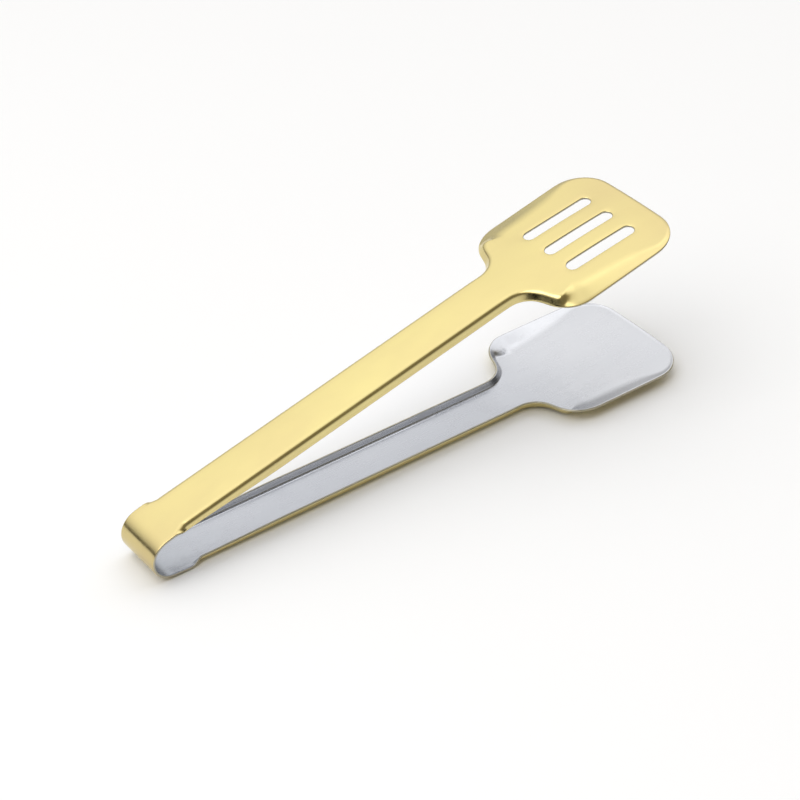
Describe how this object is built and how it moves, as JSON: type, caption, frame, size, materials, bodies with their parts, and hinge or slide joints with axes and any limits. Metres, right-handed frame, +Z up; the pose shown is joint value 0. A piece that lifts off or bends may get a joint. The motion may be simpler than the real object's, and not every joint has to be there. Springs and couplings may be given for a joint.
{
  "type": "serving tongs",
  "caption": "One-piece sprung serving tongs with wide flat blades, the upper one slotted, gold-coloured outside and bare steel inside.",
  "frame": {"origin": "under the middle of the relaxed tongs, on the surface that they lie on", "axes": "+X from the bow to the blade tips, +Y across the width, +Z up through the opening, from the lower leg to the upper one"},
  "size_m": [0.2368, 0.06, 0.0692],
  "materials": {
    "gold_coated_steel": "polished stainless steel with a gold-coloured coating on the outer face, bare inside",
    "bare_steel_gold_back": "bare polished stainless steel on the inner face, gold-coloured coating on the outer face"
  },
  "bodies": {
    "lower": {"lower_arm": "bare_steel_gold_back", "lower_blade": "bare_steel_gold_back", "bow_spring": "gold_coated_steel"},
    "upper": {"upper_arm": "gold_coated_steel", "upper_blade_slotted": "gold_coated_steel"}
  },
  "joints": [
    {"name": "squeeze", "type": "hinge", "parent": "lower", "child": "upper", "pos_m": [-0.10971, 0, 0.00915], "axis": [0, 1, 0], "range_deg": [0, 15.7], "stiffness_Nm_per_rad": 3, "springref_deg": -2.01, "deforming": ["bow_spring"]}
  ]
}
